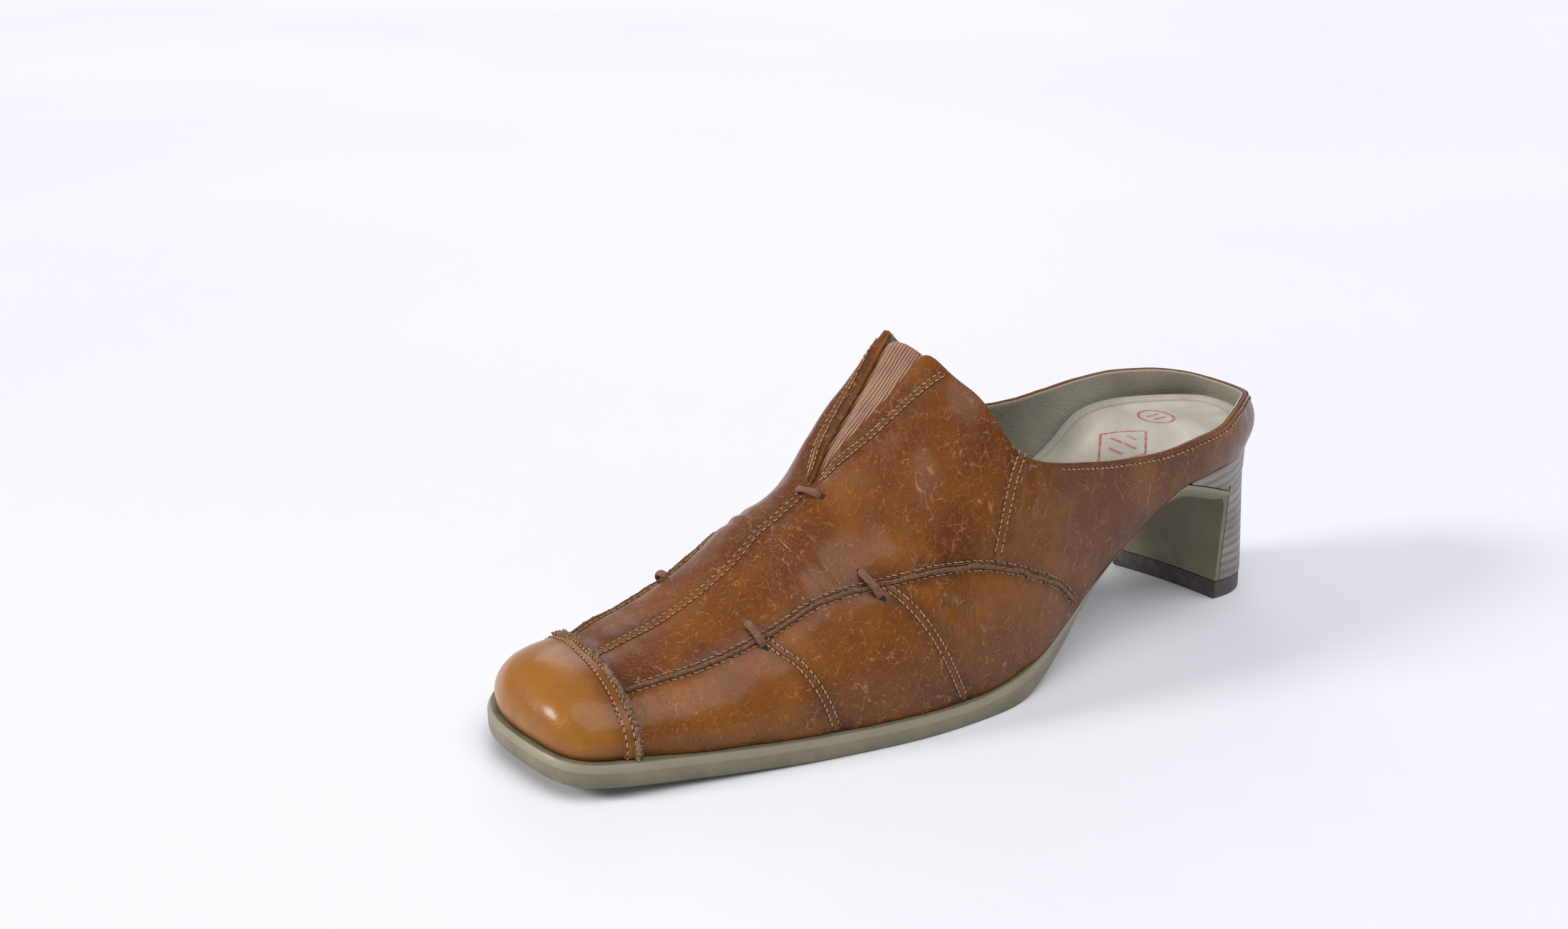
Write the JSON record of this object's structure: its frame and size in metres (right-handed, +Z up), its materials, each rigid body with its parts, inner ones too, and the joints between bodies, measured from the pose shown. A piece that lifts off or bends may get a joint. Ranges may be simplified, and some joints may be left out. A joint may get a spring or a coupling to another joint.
{
  "type": "heeled mule shoe",
  "caption": "Left leather mule with a squarish capped toe, raised side seams, an elastic wedge in the throat, an open back and a stacked block heel.",
  "frame": {"origin": "middle of the bounding box, on the floor that the sole and the heel stand on", "axes": "-Y towards the toe, +Y towards the heel, +X towards the outer side, +Z up"},
  "size_m": [0.0864, 0.2543, 0.0964],
  "materials": {
    "brown_leather": "burnished and waxed, finely crackled",
    "raw_edge_leather": "cut raw edge, matt and slightly frayed",
    "elastic": "fine ribbed elastic web",
    "insole_leather": "matt, embossed along its edge",
    "olive_rubber": "satin",
    "stacked_leather": "stacked lifts, satin, faint stripes",
    "tip_rubber": "matt"
  },
  "bodies": {
    "root": {"outsole": "olive_rubber", "heel_stack": "stacked_leather", "top_piece": "tip_rubber", "upper": "brown_leather", "toe_cap": "brown_leather", "insole": "insole_leather", "throat_gore": "elastic", "side_seam_outer": "raw_edge_leather", "side_seam_inner": "raw_edge_leather", "cap_seam": "raw_edge_leather", "tie_outer_1": "raw_edge_leather", "tie_outer_2": "raw_edge_leather", "tie_inner_1": "raw_edge_leather", "tie_inner_2": "raw_edge_leather", "tie_throat": "raw_edge_leather"}
  },
  "joints": []
}
